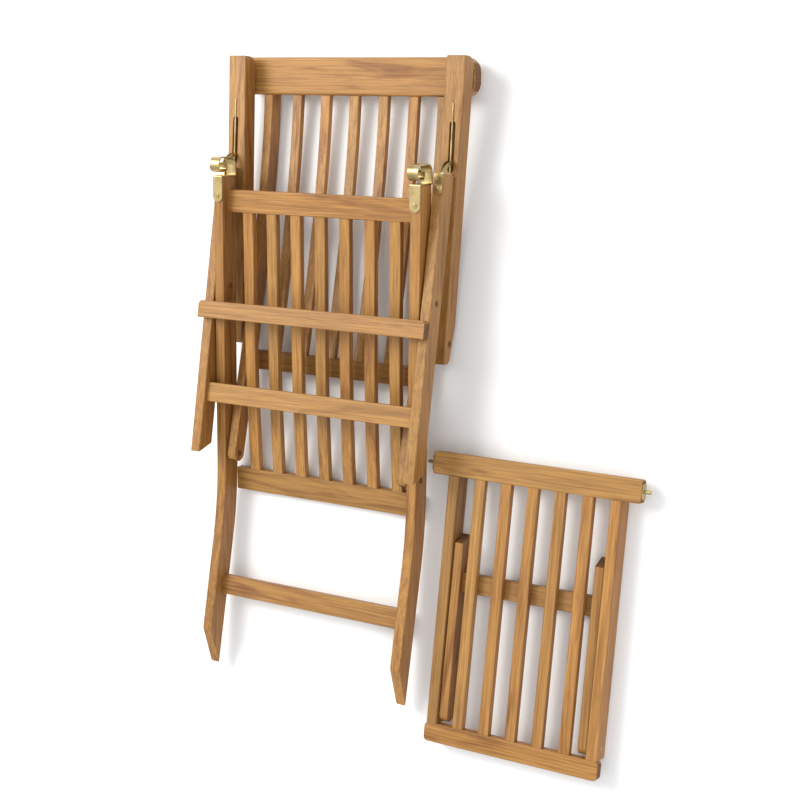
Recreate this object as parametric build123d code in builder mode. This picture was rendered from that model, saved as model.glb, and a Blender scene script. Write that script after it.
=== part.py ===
"""Folding teak deck chair, folded flat, with its detached footrest beside it.

The chair lies on its back frame: +X is its right, +Y runs to the head end, +Z is up.
Profiles are drawn in chair coordinates (u, v): u runs along the seat side rails from the
rear feet to the front end, and v is the height above the rails' underside, which faces up.
"""
import os
from math import atan2, cos, degrees, radians, sin, tan

from build123d import *

# ---- driving dimensions, mm and degrees --------------------------------------------------
board = 24.0              # thickness of the side rails and legs
play = 3.0                # gap between members that fold past each other
leg_outer = 285.5         # half width over the front legs
leg_inner = leg_outer - board
seat_outer = leg_inner - play
seat_inner = seat_outer - board
stile_board = 22.0
stile_outer = seat_inner - play
stile_inner = stile_outer - stile_board

fold_angle = 86.0         # turn of every hinge of the main fold
seat_slope = 18.5         # slope of the seat rails when the chair stands open

seat_pivot = (869.0, -27.0)     # front legs on the seat rails
back_pivot = (489.0, -20.0)     # back stiles on the seat rails
link = (286.0, -71.8)           # back pivot to arm pivot, and seat pivot to leg fork
arm_pivot = (back_pivot[0] + link[0], back_pivot[1] + link[1])
fork_point = (seat_pivot[0] + link[0], seat_pivot[1] + link[1])

pin_r = 4.0
running = 0.09            # radial clearance of a pin in the member that turns on it
plug_r = 7.0
plug_depth = 5.0

rail_depth = 48.0         # seat side rail
rail_end = 1111.0
bend_start = 470.0        # where the side rail starts to curve into the rear leg
bend_radius = 818.0
bend_angle = 12.0
rear_heel_u = 0.0

leg_depth = 45.0          # front leg
leg_tilt = 10.3
leg_top = 266.0

stile_depth = 36.0
back_line = [back_pivot, (560, -37.5), (660, -63), arm_pivot, (920, -124), (1076, -153.5), (1300, -178)]
crest_low, crest_high = 1288.0, 1370.0
crest_front, crest_thick = -161.0, 30.0
crest_half = 297.0

arm_front = 1373.0
arm_rear = 733.0
arm_width = 45.0
arm_depth = 40.0
arm_slope = 0.0684        # drop of the arm's underside per mm towards the front
arm_splay = 0.0234        # sideways spread of the arm per mm towards the front
arm_front_outer = 297.0
arm_taper_start = 815.0
arm_sink = 2.5            # the arm's underside lies this far beyond the fork point
slot_low, slot_high = 1134.0, 1240.0
slot_width, slot_depth = 14.0, 18.0
slot_x = (leg_outer + leg_inner) / 2
rod_r = 2.0
rod_low, rod_high = 1128.5, 1276.0

seat_slat_count, seat_slat_width, seat_slat_thick = 7, 26.0, 16.0
back_slat_count, back_slat_width, back_slat_thick = 5, 24.0, 14.0

foot_half = 233.0         # half length of the footrest's top rail
foot_frame_half = 194.0
foot_end_half = 198.0
foot_length = 618.0
foot_height = 46.0
foot_pin_reach = 16.0
foot_pin_r = 4.0
foot_leg_length = 385.0


# ---- the resting place --------------------------------------------------------------------
def arm_under(u):
    """Height of the arm's underside at u."""
    return fork_point[1] - arm_sink - arm_slope * (u - fork_point[0])


def arm_outer(u):
    """Half width over the arms at u."""
    return arm_front_outer - arm_splay * (arm_front - u)


rail_rest = (398.0, -66.0)      # lower rear corner of the seat's rear rail
bow_rest = (1150.0, -184.6)     # where the stiles' backs bow furthest
lie = atan2(rail_rest[1] - bow_rest[1], bow_rest[0] - rail_rest[0])


def lie_y(u, v):
    return u * cos(lie) - v * sin(lie)


def lie_z(u, v):
    return u * sin(lie) + v * cos(lie)


lift = -lie_z(*rail_rest)
foot_top_y = lie_y(553, -40)
foot_centre_x = seat_outer + play + foot_half + foot_pin_reach
width_middle = (foot_centre_x + foot_half + foot_pin_reach - crest_half) / 2
length_middle = (lie_y(arm_front, arm_under(arm_front) - arm_depth / 2) + foot_top_y - foot_length) / 2


def chair(x):
    """Side-profile plane of the chair at half-width position x."""
    return Plane(origin=(x - width_middle, -length_middle, lift),
                 x_dir=(0, cos(lie), sin(lie)), z_dir=(1, 0, 0))


def point(plane, u, v):
    return plane.from_local_coords(Vector(u, v, 0))


def leg_plane(x):
    """Side-profile plane of the front legs: along the leg from the seat pivot, and across it."""
    tilt = radians(leg_tilt)
    base = chair(x)
    turned = base.x_dir * cos(tilt) - base.y_dir * sin(tilt)
    return Plane(origin=point(base, *seat_pivot), x_dir=turned, z_dir=(1, 0, 0))


def in_leg(u, v):
    """Chair coordinates to leg coordinates."""
    tilt = radians(leg_tilt)
    du, dv = u - seat_pivot[0], v - seat_pivot[1]
    return du * cos(tilt) - dv * sin(tilt), du * sin(tilt) + dv * cos(tilt)


def foot_plane(z):
    """Plan of the footrest at height z: origin in the middle of the top rail's outer edge."""
    return Plane(origin=(foot_centre_x - width_middle, foot_top_y - length_middle, z))


def foot_side(x):
    """Side profile of the footrest: along it towards the head end, and up."""
    return Plane(origin=(foot_centre_x - width_middle + x, foot_top_y - length_middle, 0),
                 x_dir=(0, 1, 0), z_dir=(1, 0, 0))


made = []


def keep(builder, name):
    """Label a finished piece and write it."""
    builder.part.label = name
    export_step(builder.part, f"parts/{name}.step")
    made.append((name, builder.part))


def merge(pieces, name):
    """Identical small pieces share one node as separate solids."""
    group = Compound(label=name, children=[piece.part for piece in pieces])
    export_step(group, f"parts/{name}.step")
    made.append((name, group))


def soften(piece, least, radius=2.0):
    """Round every edge longer than least; called inside the piece's own block."""
    fillet([edge for edge in piece.edges() if edge.length > least], radius)


def bar(plane, thick, points):
    """A straight rail: its outline in the plane, extruded along the plane's normal."""
    with BuildPart() as piece:
        with BuildSketch(plane):
            with BuildLine():
                Polyline(*points, close=True)
            make_face()
        extrude(amount=thick)
        soften(piece, 150)
    return piece


def rod_piece(plane, at, radius, length):
    with BuildPart() as piece:
        with BuildSketch(plane):
            with Locations(at):
                Circle(radius)
        extrude(amount=length)
    return piece


def ribbon(plane, thick, path, depth, low, high):
    """A curved slat: a band along the path, cut square between u = low and u = high."""
    with BuildPart() as piece:
        with BuildSketch(plane):
            with BuildLine():
                Spline(*path)
            trace(line_width=depth)
            with Locations(((low + high) / 2, (path[0][1] + path[-1][1]) / 2)):
                Rectangle(high - low, 600, mode=Mode.INTERSECT)
        extrude(amount=thick)
        soften(piece, 150)
    return piece


def slotted_screw(plane, at, radius, height):
    """A screw head standing on the plane, with a slot across it."""
    with BuildPart() as piece:
        with BuildSketch(plane):
            with Locations(at):
                Circle(radius)
        extrude(amount=height)
        fillet(piece.edges().group_by(SortBy.LENGTH)[-1], height * 0.35)
        with BuildSketch(plane.offset(height * 0.5)):
            with Locations(at):
                Rectangle(radius * 3, 1.2, rotation=35)
        extrude(amount=height, mode=Mode.SUBTRACT)
    return piece


def sides():
    """Name and outward direction of each side."""
    return (("left", -1), ("right", 1))


def start_x(side, inner, thick):
    """Where a member between inner and inner + thick starts, on either side."""
    return inner if side > 0 else -inner - thick


os.makedirs("parts", exist_ok=True)

# ---- seat frame ----------------------------------------------------------------------------
bend = radians(bend_angle)
bend_end = (bend_start - bend_radius * sin(bend), bend_radius * (1 - cos(bend)))
far_radius = bend_radius + rail_depth
far_end = (bend_start - far_radius * sin(bend), bend_radius - far_radius * cos(bend))
half_turn = bend / 2
heel = (rear_heel_u, far_end[1] + (far_end[0] - rear_heel_u) * tan(bend))
floor_rise = tan(radians(seat_slope))
toe_u = (bend_end[1] + bend_end[0] * tan(bend) - heel[1]) / (floor_rise + tan(bend))
toe = (toe_u, heel[1] + floor_rise * toe_u)


def bend_point(radius, angle):
    return bend_start - radius * sin(angle), bend_radius - radius * cos(angle)


def seat_side(side):
    """Side rail and rear leg in one curved board."""
    x = start_x(side, seat_inner, board)
    inner_face = x if side > 0 else x + board
    outer_face = x + board if side > 0 else x
    with BuildPart() as piece:
        with BuildSketch(chair(x)):
            with BuildLine():
                Line((rail_end, 0), (bend_start, 0))
                ThreePointArc((bend_start, 0), bend_point(bend_radius, half_turn), bend_end)
                Line(bend_end, toe)
                Line(toe, heel)
                Line(heel, far_end)
                ThreePointArc(far_end, bend_point(far_radius, half_turn), (bend_start, -rail_depth))
                Line((bend_start, -rail_depth), (rail_end, -rail_depth))
                Line((rail_end, -rail_depth), (rail_end, 0))
            make_face()
        extrude(amount=board)
        soften(piece, 40, 2.5)
        with BuildSketch(chair(x)):
            with Locations(seat_pivot):
                Circle(pin_r)
            with Locations(back_pivot):
                Circle(pin_r + running)
        extrude(amount=board, mode=Mode.SUBTRACT)
        with BuildSketch(chair(inner_face)):
            with Locations(seat_pivot):
                Circle(plug_r)
        extrude(amount=plug_depth * side, mode=Mode.SUBTRACT)
        with BuildSketch(chair(outer_face)):
            with Locations(back_pivot):
                Circle(plug_r)
        extrude(amount=-plug_depth * side, mode=Mode.SUBTRACT)
    return piece


def plugs(faces, at, plane_at=chair):
    """Wooden pellets flush in the counterbores at each (face, inward direction)."""
    return [rod_piece(plane_at(face), at, plug_r, plug_depth * inward) for face, inward in faces]


for name, side in sides():
    keep(seat_side(side), f"seat_side_{name}")

front_rail = (1033.0, 1082.0, -22.0, -42.0)
rear_rail = (rail_rest[0], 449.0, -46.0, rail_rest[1])


def cross_rail(inner, spec):
    low, high, top, bottom = spec
    return bar(chair(-inner), 2 * inner, [(low, top), (high, top), (high, bottom), (low, bottom)])


keep(cross_rail(seat_inner, front_rail), "seat_front_rail")
keep(cross_rail(seat_inner, rear_rail), "seat_rear_rail")

stretcher_mid = (183.0, 6.0)
along = Vector(-cos(bend), sin(bend))
across = Vector(sin(bend), cos(bend))


def stretcher_corner(a, b):
    return (stretcher_mid[0] + a * along.X + b * across.X, stretcher_mid[1] + a * along.Y + b * across.Y)


keep(bar(chair(-seat_inner), 2 * seat_inner,
         [stretcher_corner(a, b) for a, b in ((-22, 10), (22, 10), (22, -10), (-22, -10))]),
     "leg_stretcher")

seat_line = [(1040, -32), (820, -36), (640, -41), (520, -49), (440, -55)]
seat_gap = (2 * seat_inner - seat_slat_count * seat_slat_width) / (seat_slat_count + 1)
for index in range(seat_slat_count):
    slat_x = -seat_inner + seat_gap + index * (seat_gap + seat_slat_width)
    keep(ribbon(chair(slat_x), seat_slat_width, seat_line, seat_slat_thick, rear_rail[1], front_rail[0]),
         f"seat_slat_{index + 1}")

hook_thick = 3.0
hook_path = [(1075, 1.5), (rail_end + 1.6, 1.5), (rail_end + 1.6, -rail_depth - 1.5), (1152.5, -rail_depth - 1.5),
             (1152.5, 12.5), (1122, 12.5), (1122, -17), (1140, -17), (1140, -3)]
hook_radii = 1.6, 2.5, 18, 15, 13, 8, 6


def top_plane(plane, height):
    """Plane whose local axes are X and the member's length, at a height over its side plane."""
    origin = plane.from_local_coords(Vector(0, height, 0))
    return Plane(origin=(0, origin.Y, origin.Z), x_dir=(1, 0, 0), z_dir=plane.y_dir)


def tongue(plane, x, low, high, width, thick):
    """A flat strap lying on the plane, round at its low end."""
    with BuildPart() as piece:
        with BuildSketch(plane):
            with Locations((x - width_middle, (low + width / 2 + high) / 2)):
                Rectangle(width, high - low - width / 2)
            with Locations((x - width_middle, low + width / 2)):
                Circle(width / 2)
        extrude(amount=thick)
    return piece


def hook(side):
    """Scroll hook: a brass strap round the rail's end that curls over to the front."""
    x = start_x(side, seat_inner, board)
    with BuildPart() as piece:
        with BuildSketch(chair(x)):
            with BuildLine():
                FilletPolyline(*hook_path, radius=hook_radii)
            trace(line_width=hook_thick)
        extrude(amount=board)
        add(tongue(top_plane(chair(0), 0), x + board / 2, 1056, 1078, board, hook_thick).part)
    return piece


for name, side in sides():
    keep(hook(side), f"footrest_hook_{name}")


seat_top = top_plane(chair(0), hook_thick)
hook_screws = [slotted_screw(seat_top, (side * (seat_outer - board / 2) - width_middle, 1070), 4.6, 2.0)
               for _, side in sides()]
merge(hook_screws, "hook_screws")

seat_pins = []
for _, side in sides():
    low = seat_inner + plug_depth
    high = leg_outer - plug_depth
    seat_pins.append(rod_piece(chair(side * low), seat_pivot, pin_r, (high - low) * side))
merge(seat_pins, "front_leg_pins")

back_pins = []
for _, side in sides():
    low = stile_inner + plug_depth
    high = seat_outer - plug_depth
    back_pins.append(rod_piece(chair(side * low), back_pivot, pin_r, (high - low) * side))
merge(back_pins, "back_pins")


def washer(x, length, at):
    with BuildPart() as piece:
        with BuildSketch(chair(x)):
            with Locations(at):
                Circle(9)
                Circle(pin_r, mode=Mode.SUBTRACT)
        extrude(amount=length)
    return piece


washer_thick = play - 0.6
merge([washer(side * (seat_outer + 0.3), washer_thick * side, seat_pivot) for _, side in sides()],
      "front_leg_washers")
merge([washer(side * (stile_outer + 0.3), washer_thick * side, back_pivot) for _, side in sides()],
      "back_washers")
arm_gap = arm_outer(arm_pivot[0]) - arm_width - stile_outer
merge([washer(side * (stile_outer + 0.3), (arm_gap - 1.2) * side, arm_pivot) for _, side in sides()],
      "arm_washers")
merge(plugs([(side * seat_inner, side) for _, side in sides()], seat_pivot)
      + plugs([(side * seat_outer, -side) for _, side in sides()], back_pivot), "seat_pellets")

# ---- front legs ----------------------------------------------------------------------------
pivot_height = (heel[1] + floor_rise * seat_pivot[0] - seat_pivot[1]) * cos(radians(seat_slope))
leg_lean = 180 - seat_slope - leg_tilt - fold_angle
leg_foot = pivot_height / sin(radians(leg_lean))
foot_cut = tan(radians(90 - leg_lean)) * leg_depth / 2


def front_leg(side):
    x = start_x(side, leg_inner, board)
    outer_face = x + board if side > 0 else x
    half = leg_depth / 2
    with BuildPart() as piece:
        with BuildSketch(leg_plane(x)):
            with BuildLine():
                Polyline((leg_top, -half), (leg_top, half), (-leg_foot - foot_cut, half),
                         (-leg_foot + foot_cut, -half), close=True)
            make_face()
        extrude(amount=board)
        soften(piece, 60, 2.5)
        with BuildSketch(leg_plane(x)):
            Circle(pin_r + running)
        extrude(amount=board, mode=Mode.SUBTRACT)
        with BuildSketch(chair(outer_face)):
            with Locations(seat_pivot):
                Circle(plug_r)
        extrude(amount=-plug_depth * side, mode=Mode.SUBTRACT)
    return piece


for name, side in sides():
    keep(front_leg(side), f"front_leg_{name}")

upper_rail = (-76.0, -38.0, leg_depth / 2 + 22, leg_depth / 2)
lower_rail = (-262.0, -219.0, 12.5, -7.5)


def leg_rail(half_width, spec, corner):
    """A rail across the front legs, with the two outer corners nearest the pivot cut back."""
    low, high, top, bottom = spec
    outline = [(half_width - corner, high), (half_width, high - corner), (half_width, low),
               (-half_width, low), (-half_width, high - corner), (corner - half_width, high)]
    return bar(top_plane(leg_plane(0), bottom), top - bottom, [(x - width_middle, y) for x, y in outline])


keep(leg_rail(leg_outer, upper_rail, 6), "front_leg_upper_rail")
keep(leg_rail(leg_inner, lower_rail, 1), "front_leg_lower_rail")
merge(plugs([(side * leg_outer, -side) for _, side in sides()], seat_pivot), "front_leg_pellets")

fork_t, fork_h = in_leg(*fork_point)
strap = 2.5
strap_half = leg_depth / 2 + strap / 2
prong_base = (leg_top + strap, 11.0)


def leg_fork(side):
    """Brass strap over the leg's top with two prongs that straddle the arm's rod."""
    with BuildPart() as piece:
        with BuildSketch(leg_plane(side * slot_x - 10)):
            with BuildLine():
                FilletPolyline((235, strap_half), (leg_top + strap / 2 + 0.1, strap_half),
                               (leg_top + strap / 2 + 0.1, -14), radius=1.3)
            trace(line_width=strap)
        extrude(amount=20)
        add(tongue(top_plane(leg_plane(0), leg_depth / 2), side * slot_x, 222, 238, 20, strap).part)
        for prong_x in (side * slot_x - 6.2, side * slot_x + 3.2):
            with BuildSketch(leg_plane(prong_x)):
                with BuildLine():
                    ThreePointArc((leg_top + 2.8, 12), ((leg_top + fork_t) / 2 + 6, -1), (fork_t, fork_h))
                trace(line_width=7)
                with Locations((fork_t, fork_h)):
                    Circle(4.2)
            extrude(amount=3)
    return piece


for name, side in sides():
    keep(leg_fork(side), f"leg_fork_{name}")
fork_top = top_plane(leg_plane(0), leg_depth / 2 + strap)
merge([slotted_screw(fork_top, (side * slot_x - width_middle, 236), 4.6, 2.0) for _, side in sides()],
      "fork_screws")

# ---- back frame ----------------------------------------------------------------------------


def back_stile(side):
    x = start_x(side, stile_inner, stile_board)
    inner_face = x if side > 0 else x + stile_board
    with BuildPart() as piece:
        with BuildSketch(chair(x)):
            with BuildLine():
                Spline(*back_line)
            trace(line_width=stile_depth)
            with Locations(back_pivot):
                Circle(stile_depth / 2)
            with Locations((crest_low - 500, -100)):
                Rectangle(1000, 500, mode=Mode.INTERSECT)
        extrude(amount=stile_board)
        soften(piece, 300)
        with BuildSketch(chair(x)):
            with Locations(back_pivot, arm_pivot):
                Circle(pin_r)
        extrude(amount=stile_board, mode=Mode.SUBTRACT)
        with BuildSketch(chair(inner_face)):
            with Locations(back_pivot, arm_pivot):
                Circle(plug_r)
        extrude(amount=plug_depth * side, mode=Mode.SUBTRACT)
    return piece


for name, side in sides():
    keep(back_stile(side), f"back_stile_{name}")

crest_plane = top_plane(chair(0), crest_front - crest_thick)
with BuildPart() as crest_board:
    with BuildSketch(crest_plane):
        with Locations((-width_middle, (crest_low + crest_high) / 2)):
            RectangleRounded(2 * crest_half, crest_high - crest_low, 30)
    extrude(amount=crest_thick)
    fillet(crest_board.edges().filter_by(Axis(chair(0).origin, chair(0).y_dir), reverse=True), 5)
keep(crest_board, "crest_board")

bottom_rail = (679.0, 721.0, -66.0, -86.0)
keep(cross_rail(stile_inner, bottom_rail), "back_bottom_rail")

slat_line = [(700, -70.5), (800, -94), (920, -120), (1076, -149), (1310, -174.5)]
back_gap = (2 * stile_inner - back_slat_count * back_slat_width) / (back_slat_count + 1)
for index in range(back_slat_count):
    slat_x = -stile_inner + back_gap + index * (back_gap + back_slat_width)
    keep(ribbon(chair(slat_x), back_slat_width, slat_line, back_slat_thick, bottom_rail[1], crest_low),
         f"back_slat_{index + 1}")

arm_pins = []
for _, side in sides():
    low = stile_inner + plug_depth
    high = arm_outer(arm_pivot[0]) - plug_depth - 1
    arm_pins.append(rod_piece(chair(side * low), arm_pivot, pin_r, (high - low) * side))
merge(arm_pins, "arm_pins")
stile_faces = [(side * stile_inner, side) for _, side in sides()]
merge(plugs(stile_faces, back_pivot) + plugs(stile_faces, arm_pivot), "back_pellets")

# ---- arms ----------------------------------------------------------------------------------
arm_angle = atan2(-arm_slope, 1)
arm_plug_r = 7.0


def arm_frame(x):
    """Side-profile plane along the arm's underside, with its origin at the fork point's foot."""
    base = chair(x)
    start = point(base, fork_point[0], arm_under(fork_point[0]))
    turned = base.x_dir * cos(arm_angle) + base.y_dir * sin(arm_angle)
    return Plane(origin=start, x_dir=turned, z_dir=(1, 0, 0))


def along_arm(u):
    return (u - fork_point[0]) / cos(arm_angle)


def arm(side):
    near, far = along_arm(arm_rear), along_arm(arm_front)
    taper = along_arm(arm_taper_start)
    flat = top_plane(arm_frame(0), -60)
    with BuildPart() as piece:
        with BuildSketch(flat):
            with BuildLine():
                outline = [(side * arm_outer(arm_rear), near), (side * arm_outer(arm_front), far),
                           (side * (arm_outer(arm_front) - arm_width), far),
                           (side * (arm_outer(arm_rear) - arm_width), near)]
                Polyline(*[(x - width_middle, y) for x, y in outline], close=True)
            make_face()
        extrude(amount=80)
        with BuildSketch(arm_frame(side * 200)):
            with BuildLine():
                Line((near + 6, 0), (far - 2, 0))
                ThreePointArc((far - 2, 0), (far - 0.6, -0.6), (far, -2))
                Line((far, -2), (far, -18))
                ThreePointArc((far, -18), (far - 6.5, -33.5), (far - 22, -arm_depth))
                Line((far - 22, -arm_depth), (taper, -arm_depth))
                Line((taper, -arm_depth), (near + 10, -25))
                ThreePointArc((near + 10, -25), (near + 3, -21), (near, -14))
                Line((near, -14), (near, -6))
                ThreePointArc((near, -6), (near + 1.8, -1.8), (near + 6, 0))
            make_face()
        extrude(amount=side * 120, mode=Mode.INTERSECT)
        soften(piece, 3, 2.5)
        slot = top_plane(arm_frame(0), -slot_depth)
        with BuildSketch(slot):
            middle = (along_arm(slot_low) + along_arm(slot_high)) / 2
            with Locations((side * slot_x - width_middle, middle)):
                SlotOverall(slot_high - slot_low, slot_width, rotation=90)
        extrude(amount=slot_depth + 5, mode=Mode.SUBTRACT)
        outer_face = side * (arm_outer(arm_pivot[0]) + 3)
        with BuildSketch(chair(outer_face)):
            with Locations(arm_pivot):
                Circle(pin_r + running)
        extrude(amount=-side * (arm_width + 10), mode=Mode.SUBTRACT)
        with BuildSketch(chair(outer_face)):
            with Locations(arm_pivot):
                Circle(arm_plug_r)
        extrude(amount=-side * (plug_depth + 3), mode=Mode.SUBTRACT)
        with BuildSketch(arm_rod_plane(side)):
            with Locations((0, rod_axis)):
                Circle(rod_r)
        extrude(amount=along_arm(rod_high) - along_arm(rod_low), mode=Mode.SUBTRACT)
    return piece


rod_axis = 0.8


def arm_rod_plane(side):
    """Plane square to the rod at its lower end."""
    base = arm_frame(side * slot_x)
    return Plane(origin=point(base, along_arm(rod_low), 0), x_dir=(-1, 0, 0), z_dir=base.x_dir)


def arm_rod(side):
    """Guide rod over the slot, let into grooves beyond both of its ends."""
    with BuildPart() as piece:
        with BuildSketch(arm_rod_plane(side)):
            with Locations((0, rod_axis)):
                Circle(rod_r)
        extrude(amount=along_arm(rod_high) - along_arm(rod_low))
    return piece


for name, side in sides():
    keep(arm(side), f"arm_{name}")
    keep(arm_rod(side), f"arm_rod_{name}")
    face = arm_outer(arm_pivot[0]) - 0.3
    keep(rod_piece(chair(side * face), arm_pivot, arm_plug_r, -side * (plug_depth - 0.3)), f"arm_pellet_{name}")

# ---- footrest ------------------------------------------------------------------------------
end_rail_low = foot_height - 22
top_rail_width, bottom_rail_width = 48.0, 40.0
frame_start = -top_rail_width
frame_end = -(foot_length - bottom_rail_width)
foot_leg_pivot = (frame_end + 22, 23.0)


def foot_bar(x_low, x_high, y_low, y_high, z_low, z_high, radius=0.0):
    """A straight footrest board, with rounded corners in plan if a radius is given."""
    with BuildPart() as piece:
        with BuildSketch(foot_plane(z_low)):
            with Locations(((x_low + x_high) / 2, (y_low + y_high) / 2)):
                if radius:
                    RectangleRounded(x_high - x_low, y_high - y_low, radius)
                else:
                    Rectangle(x_high - x_low, y_high - y_low)
        extrude(amount=z_high - z_low)
        soften(piece, 150)
    return piece


keep(foot_bar(-foot_half, foot_half, frame_start, 0, end_rail_low, foot_height, 5), "footrest_top_rail")
keep(foot_bar(-foot_end_half, foot_end_half, -foot_length, frame_end, end_rail_low, foot_height, 9),
     "footrest_bottom_rail")

foot_side_inner = foot_frame_half - board
for name, side in sides():
    x = start_x(side, foot_side_inner, board)
    with BuildPart() as foot_rail:
        with BuildSketch(foot_side(x)):
            with BuildLine():
                Polyline((frame_start, 0), (frame_start, foot_height), (frame_end, foot_height),
                         (frame_end, 0), close=True)
            make_face()
        extrude(amount=board)
        soften(foot_rail, 150, 2.5)
        with BuildSketch(foot_side(x)):
            with Locations(foot_leg_pivot):
                Circle(pin_r)
        extrude(amount=board, mode=Mode.SUBTRACT)
    keep(foot_rail, f"footrest_side_{name}")

foot_slat_width = 24.0
foot_pitch = (2 * foot_frame_half - board) / 6
for index in range(5):
    middle = -2 * foot_pitch + index * foot_pitch
    keep(foot_bar(middle - foot_slat_width / 2, middle + foot_slat_width / 2, frame_end, frame_start, 28, 44),
         f"footrest_slat_{index + 1}")

end_pins = []
for _, side in sides():
    with BuildPart() as end_pin:
        with BuildSketch(foot_side(side * foot_half)):
            with Locations((-top_rail_width / 2, end_rail_low + 11)):
                RectangleRounded(34, 18, 5)
        extrude(amount=2 * side)
        with BuildSketch(foot_side(side * (foot_half + 2))):
            with Locations((-top_rail_width / 2, end_rail_low + 11)):
                Circle(foot_pin_r)
        extrude(amount=(foot_pin_reach - 2) * side)
    end_pins.append(end_pin)
merge(end_pins, "footrest_end_pins")

foot_leg_board, foot_leg_depth = 20.0, 34.0
foot_leg_inner = foot_side_inner - 1.5 - foot_leg_board


def foot_leg(side):
    x = start_x(side, foot_leg_inner, foot_leg_board)
    pivot_y, pivot_z = foot_leg_pivot
    half = foot_leg_depth / 2
    tip = pivot_y + foot_leg_length
    with BuildPart() as piece:
        with BuildSketch(foot_side(x)):
            with BuildLine():
                ThreePointArc((pivot_y, pivot_z - half), (pivot_y - half, pivot_z), (pivot_y, pivot_z + half))
                Line((pivot_y, pivot_z + half), (tip - 16, pivot_z + half))
                Line((tip - 16, pivot_z + half), (tip, pivot_z - half))
                Line((tip, pivot_z - half), (pivot_y, pivot_z - half))
            make_face()
        extrude(amount=foot_leg_board)
        soften(piece, 150)
        with BuildSketch(foot_side(x)):
            with Locations(foot_leg_pivot):
                Circle(pin_r + running)
        extrude(amount=foot_leg_board, mode=Mode.SUBTRACT)
    return piece


for name, side in sides():
    keep(foot_leg(side), f"footrest_leg_{name}")
keep(foot_bar(-foot_leg_inner, foot_leg_inner, -292, -250, 10, 26), "footrest_leg_rail")
merge([rod_piece(foot_side(side * (foot_leg_inner - 2)), foot_leg_pivot, pin_r,
                 side * (foot_frame_half - foot_leg_inner + 2)) for _, side in sides()], "footrest_leg_pins")

# ---- joint places and size -----------------------------------------------------------------
for name, at in (("back pivot", back_pivot), ("seat pivot", seat_pivot), ("arm pivot", arm_pivot),
                 ("fork", fork_point)):
    print(name, point(chair(0), *at))
print("footrest leg pivot", point(foot_side(0), *foot_leg_pivot))
print("footrest pins", point(foot_side(foot_half + 2), -top_rail_width / 2, end_rail_low + 11))
print("lie", round(degrees(lie), 3), "middle", width_middle, round(length_middle, 3), "lift", round(lift, 3))
print(len(made), "nodes", Compound(children=[shape for _, shape in made]).bounding_box())
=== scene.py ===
"""Oiled teak deck chair with brass fittings, folded flat on a pale studio floor."""

import math
import random

import bpy
from mathutils import Matrix, Vector

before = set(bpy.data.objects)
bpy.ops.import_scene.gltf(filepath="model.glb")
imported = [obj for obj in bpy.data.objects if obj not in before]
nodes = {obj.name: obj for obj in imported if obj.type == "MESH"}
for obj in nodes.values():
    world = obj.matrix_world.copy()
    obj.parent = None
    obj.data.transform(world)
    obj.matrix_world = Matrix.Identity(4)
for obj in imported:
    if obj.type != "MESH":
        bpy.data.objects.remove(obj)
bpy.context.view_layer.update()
scene = bpy.context.scene

lie = math.radians(8.962)        # tilt of the folded chair's seat rails above the floor
chair_place = Vector((-0.23125, -0.655968, 0.003191))   # where the chair's own zero point lies

teak_light = (0.425, 0.214, 0.054)
teak_middle = (0.285, 0.128, 0.028)
teak_dark = (0.125, 0.048, 0.011)
white = (1.0, 1.0, 1.0)
narrow_face_tone_and_shade = (0.70, 0.56, 0.50)  # what the boards' narrow faces are multiplied by: partly their edge-grain tone, partly painted shade
end_facing = 0.80                # a face this square to the grain shows end grain
brass_dull, brass_plain, brass_bright = (0.24, 0.17, 0.07), (0.47, 0.355, 0.16), (0.62, 0.49, 0.25)
first_seed = 100
floor_size, floor_drop = 24, 0.0005
camera_eye = (1.71757, 1.29091, 2.6897)
camera_yaw, camera_pitch, camera_roll = 29.16, 11.52, 0.73
camera_lens, camera_sensor = 67.33, 36


def from_chair(x, u, v):
    """Chair directions (across, along the rails, up from their underside) in the row frame."""
    return Vector((x, u * math.cos(lie) - v * math.sin(lie), u * math.sin(lie) + v * math.cos(lie)))


# ---- materials -------------------------------------------------------------------------
def math_node(tree, operation, a, b=None, clamp=False):
    """A math node's output; a and b are numbers or sockets."""
    node = tree.nodes.new("ShaderNodeMath")
    node.operation = operation
    node.use_clamp = clamp
    for index, value in enumerate((a, b)):
        if value is None:
            continue
        if isinstance(value, (int, float)):
            node.inputs[index].default_value = value
        else:
            tree.links.new(value, node.inputs[index])
    return node.outputs[0]


def mix(tree, factor, a, b, blend="MIX"):
    """Colour a blended with b; each is a colour or a socket."""
    node = tree.nodes.new("ShaderNodeMix")
    node.data_type = "RGBA"
    node.blend_type = blend
    for socket, value in ((node.inputs[0], factor), (node.inputs[6], a), (node.inputs[7], b)):
        if isinstance(value, (int, float)):
            socket.default_value = value
        elif isinstance(value, tuple):
            socket.default_value = value + (1.0,)
        else:
            tree.links.new(value, socket)
    return node.outputs[2]


def noise(tree, vector, scale, detail=4.0, rough=0.55, distortion=0.0):
    """The value of a noise texture."""
    node = tree.nodes.new("ShaderNodeTexNoise")
    node.inputs["Scale"].default_value = scale
    node.inputs["Detail"].default_value = detail
    node.inputs["Roughness"].default_value = rough
    node.inputs["Distortion"].default_value = distortion
    tree.links.new(vector, node.inputs["Vector"])
    return node.outputs["Fac"]


def ramp(tree, value, stops):
    """The value turned into a colour by stops of (position, colour)."""
    node = tree.nodes.new("ShaderNodeValToRGB")
    elements = node.color_ramp.elements
    while len(elements) < len(stops):
        elements.new(0.5)
    for element, (position, colour) in zip(elements, stops):
        element.position = position
        element.color = colour + (1.0,)
    tree.links.new(value, node.inputs[0])
    return node.outputs[0]


def tint(colour, gain, warm):
    """The colour made lighter or darker by gain and redder by warm."""
    return (min(1.0, colour[0] * gain * (1 + warm)), colour[1] * gain, colour[2] * gain * (1 - warm))


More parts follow.
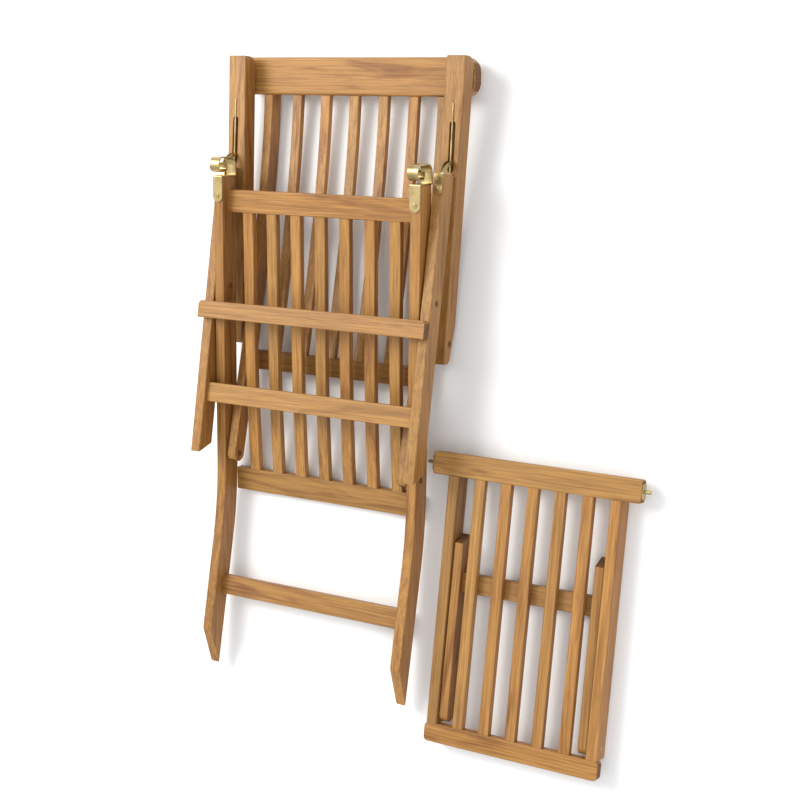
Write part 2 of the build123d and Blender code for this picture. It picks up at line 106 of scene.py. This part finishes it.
def teak(name, along, tilt, rng, base_gain=1.0, all_end=False):
    """Teak for one board: along is the axis its grain follows (0 = X, 1 = Y, 2 = Z)."""
    material = bpy.data.materials.new("teak_" + name)
    material.use_nodes = True
    tree = material.node_tree
    link = tree.links.new
    shader = tree.nodes["Principled BSDF"]
    place = tree.nodes.new("ShaderNodeTexCoord")
    turn = tree.nodes.new("ShaderNodeMapping")
    turn.inputs["Rotation"].default_value = (-tilt, 0, rng.uniform(-0.012, 0.012))
    turn.inputs["Location"].default_value = tuple(rng.uniform(-7, 7) for _ in range(3))
    link(place.outputs["Object"], turn.inputs["Vector"])

    def stretched(lengthwise, crosswise):
        scale = tree.nodes.new("ShaderNodeMapping")
        scale.inputs["Scale"].default_value = tuple(
            lengthwise if axis == along else crosswise for axis in range(3))
        link(turn.outputs[0], scale.inputs["Vector"])
        return scale.outputs[0]

    gain = base_gain * rng.uniform(0.86, 1.14)
    warm = rng.uniform(-0.03, 0.05)
    light = tint(teak_light, gain, warm)
    middle = tint(teak_middle, gain, warm)
    dark = tint(teak_dark, gain, warm)
    figure = noise(tree, stretched(1.1, 21.0), 1.0, 3.0, 0.55, 1.3)
    bands = tree.nodes.new("ShaderNodeMath")
    bands.operation = "PINGPONG"
    link(math_node(tree, "MULTIPLY", figure, 7.0), bands.inputs[0])
    bands.inputs[1].default_value = 1.0
    colour = ramp(tree, bands.outputs[0], [(0.0, middle), (0.45, light), (0.82, middle), (1.0, dark)])
    broad = noise(tree, stretched(1.6, 9.0), 1.0, 2.0)
    colour = mix(tree, math_node(tree, "MULTIPLY", broad, 0.65, True), light, colour)
    fibres = noise(tree, stretched(14.0, 950.0), 1.0, 3.0, 0.65)
    streaks = noise(tree, stretched(5.0, 260.0), 1.0, 4.0, 0.6)
    fibre_tone = ramp(tree, fibres, [(0.30, (0.50, 0.46, 0.42)), (0.52, white), (1.0, white)])
    streak_tone = ramp(tree, streaks, [(0.28, (0.56, 0.50, 0.45)), (0.55, white), (0.8, (1.14, 1.12, 1.08))])
    colour = mix(tree, 0.75, colour, fibre_tone, "MULTIPLY")
    colour = mix(tree, 0.85, colour, streak_tone, "MULTIPLY")
    stain = ramp(tree, noise(tree, stretched(3.2, 34.0), 1.0, 3.0, 0.6, 0.8),
                 [(0.30, (0.58, 0.44, 0.34)), (0.44, white), (1.0, white)])
    colour = mix(tree, 0.8, colour, stain, "MULTIPLY")

    parts = tree.nodes.new("ShaderNodeSeparateXYZ")
    link(place.outputs["Normal"], parts.inputs[0])
    facing = math_node(tree, "ABSOLUTE", parts.outputs[along])
    end = 1.0 if all_end else math_node(tree, "GREATER_THAN", facing, end_facing)
    rings = noise(tree, stretched(160.0, 160.0), 1.0, 5.0, 0.7, 0.6)
    end_colour = ramp(tree, rings, [(0.30, tint(dark, 0.62, 0.02)), (0.52, dark),
                                    (0.75, tint(middle, 0.85, 0.0))])
    # Narrow faces across the grain are darkened and reddened by their facing direction: partly edge-grain
    # tone, partly painted shade on the boards' sides.
    side = math_node(tree, "ABSOLUTE", parts.outputs[0 if along == 1 else 1])
    softened = math_node(tree, "SMOOTH_MIN", side, 1.0)
    side = math_node(tree, "MULTIPLY", softened, 0.55 if along == 1 else 0.3, True)
    colour = mix(tree, side, colour, mix(tree, 1.0, colour, narrow_face_tone_and_shade, "MULTIPLY"))
    colour = mix(tree, end, colour, end_colour)
    link(colour, shader.inputs["Base Color"])

    rough = math_node(tree, "ADD", math_node(tree, "MULTIPLY", streaks, -0.22), 0.56)
    rough = math_node(tree, "ADD", rough, math_node(tree, "MULTIPLY", end, 0.2), True)
    link(rough, shader.inputs["Roughness"])
    shader.inputs["Specular IOR Level"].default_value = 0.42
    bump = tree.nodes.new("ShaderNodeBump")
    bump.inputs["Strength"].default_value = 0.30
    bump.inputs["Distance"].default_value = 0.0006
    link(math_node(tree, "ADD", fibres, math_node(tree, "MULTIPLY", streaks, 0.7)), bump.inputs["Height"])
    link(bump.outputs[0], shader.inputs["Normal"])
    return material


def brass(name, rng):
    """Satin brass, a little clouded, for one fitting."""
    material = bpy.data.materials.new("brass_" + name)
    material.use_nodes = True
    tree = material.node_tree
    link = tree.links.new
    shader = tree.nodes["Principled BSDF"]
    place = tree.nodes.new("ShaderNodeTexCoord")
    shift = tree.nodes.new("ShaderNodeMapping")
    shift.inputs["Location"].default_value = tuple(rng.uniform(-4, 4) for _ in range(3))
    link(place.outputs["Object"], shift.inputs["Vector"])
    cloud = noise(tree, shift.outputs[0], 38.0, 5.0, 0.6)
    fine = noise(tree, shift.outputs[0], 900.0, 3.0, 0.6)
    colour = ramp(tree, cloud, [(0.28, brass_dull), (0.5, brass_plain), (0.75, brass_bright)])
    link(colour, shader.inputs["Base Color"])
    shader.inputs["Metallic"].default_value = 1.0
    link(math_node(tree, "ADD", math_node(tree, "MULTIPLY", cloud, -0.20), 0.42), shader.inputs["Roughness"])
    bump = tree.nodes.new("ShaderNodeBump")
    bump.inputs["Strength"].default_value = 0.12
    bump.inputs["Distance"].default_value = 0.0003
    link(fine, bump.inputs["Height"])
    link(bump.outputs[0], shader.inputs["Normal"])
    return material


crossing = ("rail", "stretcher", "crest_board")
metal = ("pins", "hook", "fork", "screw", "washer", "arm_rod")
for index, name in enumerate(sorted(nodes)):
    rng = random.Random(first_seed + index)
    if any(word in name for word in metal):
        material = brass(name, rng)
    elif "pellet" in name:
        material = teak(name, 0, 0.0, rng, 0.78, all_end=True)
    else:
        along = 0 if any(word in name for word in crossing) else 1
        loose = name.startswith("footrest")
        gain = 1.08 if "slat" in name else 0.97
        material = teak(name, along, 0.0 if loose else lie, rng, gain)
    nodes[name].data.materials.clear()
    nodes[name].data.materials.append(material)
    for polygon in nodes[name].data.polygons:
        polygon.material_index = 0

# ---- floor and light -------------------------------------------------------------------
bpy.ops.mesh.primitive_plane_add(size=floor_size, location=(0, 0, -floor_drop))
floor = bpy.context.object
floor.name = "floor"
pale = bpy.data.materials.new("floor_pale")
pale.use_nodes = True
paint = pale.node_tree.nodes["Principled BSDF"].inputs
paint["Base Color"].default_value = (0.90, 0.90, 0.895, 1)
paint["Roughness"].default_value = 0.9
paint["Specular IOR Level"].default_value = 0.1
floor.data.materials.append(pale)

world = bpy.data.worlds.new("studio")
world.use_nodes = True
world.node_tree.nodes["Background"].inputs["Color"].default_value = (0.96, 0.98, 1.0, 1)
world.node_tree.nodes["Background"].inputs["Strength"].default_value = 0.92
scene.world = world


def area_light(name, at, aim, size, power, colour):
    """A soft square light at a place, turned towards aim."""
    data = bpy.data.lights.new(name, "AREA")
    data.size = size
    data.energy = power
    data.color = colour
    lamp = bpy.data.objects.new(name, data)
    scene.collection.objects.link(lamp)
    lamp.location = at
    lamp.rotation_euler = (Vector(aim) - Vector(at)).to_track_quat("-Z", "Y").to_euler()


area_light("key", (-2.6, 1.6, 3.6), (0, 0, 0), 2.2, 165, (1.0, 0.985, 0.96))
area_light("fill", (3.0, -1.5, 3.0), (0, 0, 0), 3.0, 38, (0.95, 0.98, 1.0))

# ---- camera ----------------------------------------------------------------------------
yaw, pitch, roll = (math.radians(angle) for angle in (camera_yaw, camera_pitch, camera_roll))
# The camera's directions are worked out in the chair's own directions, then turned with it.
forward = Vector((-math.sin(yaw) * math.cos(pitch), -math.sin(pitch), -math.cos(yaw) * math.cos(pitch)))
right = Vector((math.cos(yaw), 0, -math.sin(yaw)))
up = right.cross(forward)
right, up = right * math.cos(roll) + up * math.sin(roll), up * math.cos(roll) - right * math.sin(roll)
data = bpy.data.cameras.new("camera")
data.sensor_width = camera_sensor
data.lens = camera_lens
data.dof.use_dof = False
camera = bpy.data.objects.new("camera", data)
scene.collection.objects.link(camera)
columns = [from_chair(*axis) for axis in (right, up, -forward)]
camera.matrix_world = (Matrix.Translation(chair_place + from_chair(*camera_eye))
                       @ Matrix(columns).transposed().to_4x4())
scene.camera = camera
scene.view_settings.view_transform = "Standard"
